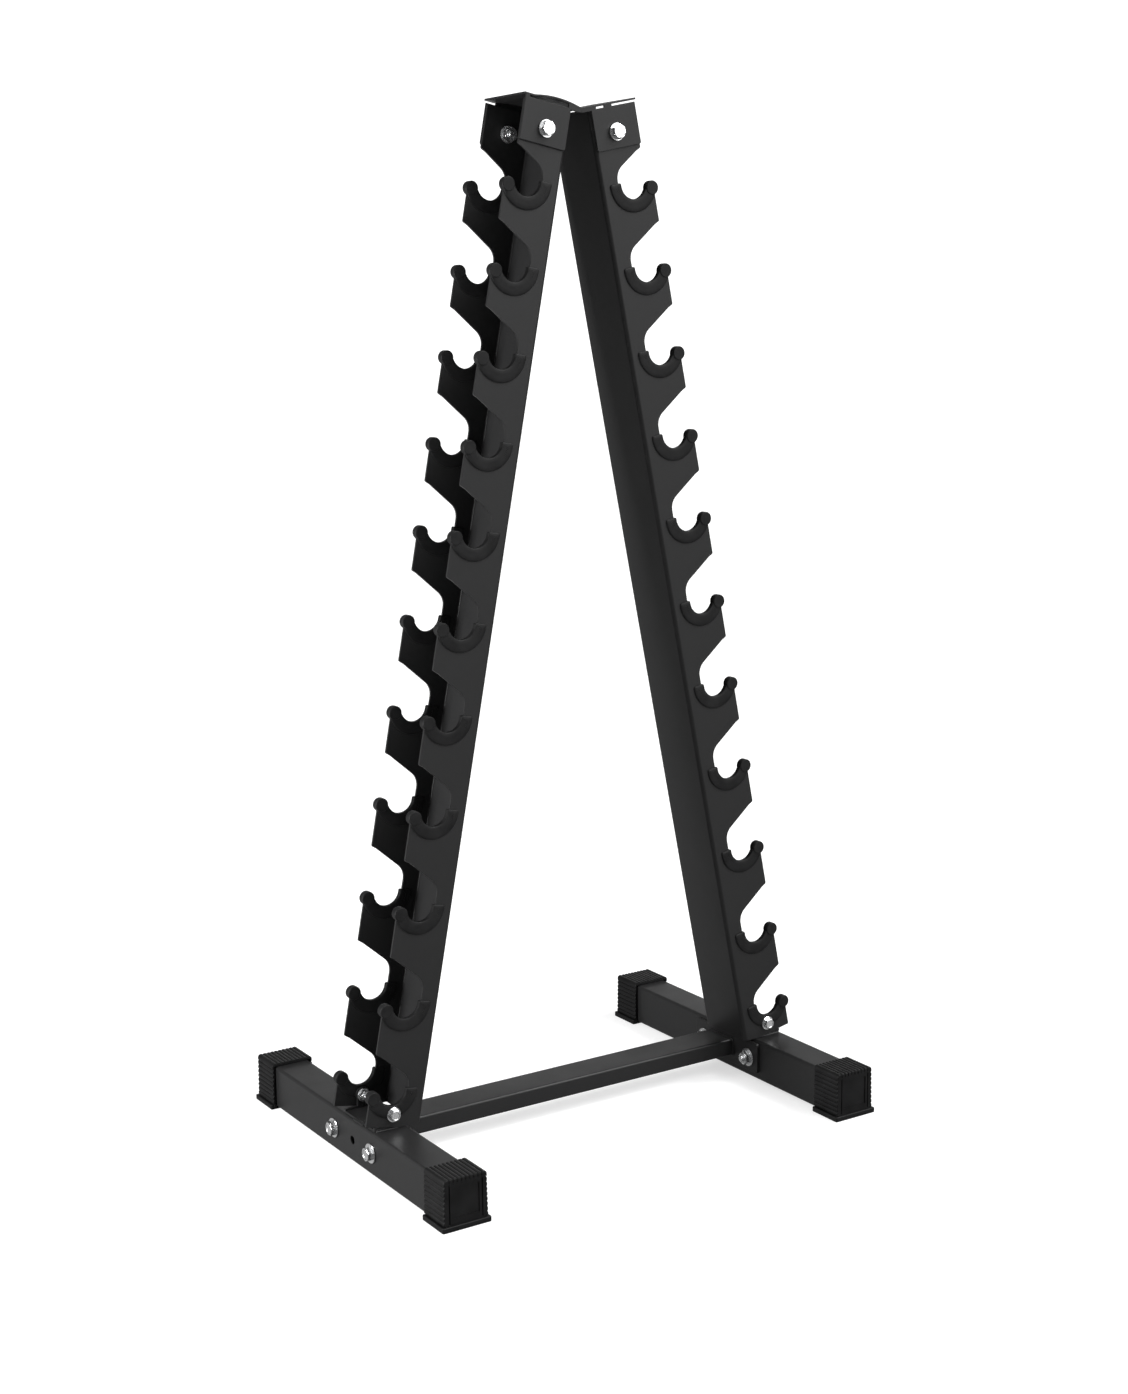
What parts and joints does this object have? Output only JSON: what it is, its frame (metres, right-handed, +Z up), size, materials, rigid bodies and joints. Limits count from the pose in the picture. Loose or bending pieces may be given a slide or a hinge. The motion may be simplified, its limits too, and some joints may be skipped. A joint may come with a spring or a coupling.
{
  "type": "dumbbell rack",
  "caption": "Free-standing A-frame rack whose two notched steel uprights hold pairs of dumbbells in rubber-lined cups above a low crossbar and two box-section feet.",
  "frame": {"origin": "on the floor, midway between the two feet and midway along them", "axes": "+X from the left foot to the right foot, -Y towards the front, +Z up"},
  "size_m": [0.6732, 0.5246, 1.3277],
  "materials": {
    "powder_coated_steel": "satin black powder coat with a fine orange-peel texture",
    "liner_rubber": "matte moulded black rubber",
    "cap_plastic": "semi-matte moulded black plastic",
    "zinc_plated_steel": "bright zinc plating"
  },
  "bodies": {
    "root": {"upright_left": "powder_coated_steel", "bolt_top_left_front": "zinc_plated_steel", "bolt_foot_left_front": "zinc_plated_steel", "liner_left_front_03": "liner_rubber", "liner_left_front_04": "liner_rubber", "liner_left_front_05": "liner_rubber", "liner_left_front_06": "liner_rubber", "liner_left_front_07": "liner_rubber", "liner_left_front_08": "liner_rubber", "liner_left_front_09": "liner_rubber", "liner_left_front_10": "liner_rubber", "liner_left_front_11": "liner_rubber", "bolt_top_left_back": "zinc_plated_steel", "bolt_foot_left_back": "zinc_plated_steel", "liner_left_back_03": "liner_rubber", "liner_left_back_04": "liner_rubber", "liner_left_back_05": "liner_rubber", "liner_left_back_06": "liner_rubber", "liner_left_back_07": "liner_rubber", "liner_left_back_08": "liner_rubber", "liner_left_back_09": "liner_rubber", "liner_left_back_10": "liner_rubber", "liner_left_back_11": "liner_rubber", "foot_left": "powder_coated_steel", "end_cap_left_front": "cap_plastic", "bolt_bar_left_front": "zinc_plated_steel", "end_cap_left_back": "cap_plastic", "bolt_bar_left_back": "zinc_plated_steel", "upright_right": "powder_coated_steel", "bolt_top_right_front": "zinc_plated_steel", "bolt_foot_right_front": "zinc_plated_steel", "liner_right_front_03": "liner_rubber", "liner_right_front_04": "liner_rubber", "liner_right_front_05": "liner_rubber", "liner_right_front_06": "liner_rubber", "liner_right_front_07": "liner_rubber", "liner_right_front_08": "liner_rubber", "liner_right_front_09": "liner_rubber", "liner_right_front_10": "liner_rubber", "liner_right_front_11": "liner_rubber", "bolt_top_right_back": "zinc_plated_steel", "bolt_foot_right_back": "zinc_plated_steel", "liner_right_back_03": "liner_rubber", "liner_right_back_04": "liner_rubber", "liner_right_back_05": "liner_rubber", "liner_right_back_06": "liner_rubber", "liner_right_back_07": "liner_rubber", "liner_right_back_08": "liner_rubber", "liner_right_back_09": "liner_rubber", "liner_right_back_10": "liner_rubber", "liner_right_back_11": "liner_rubber", "foot_right": "powder_coated_steel", "end_cap_right_front": "cap_plastic", "bolt_bar_right_front": "zinc_plated_steel", "end_cap_right_back": "cap_plastic", "bolt_bar_right_back": "zinc_plated_steel", "top_bracket": "powder_coated_steel", "crossbar": "powder_coated_steel"}
  },
  "joints": []
}
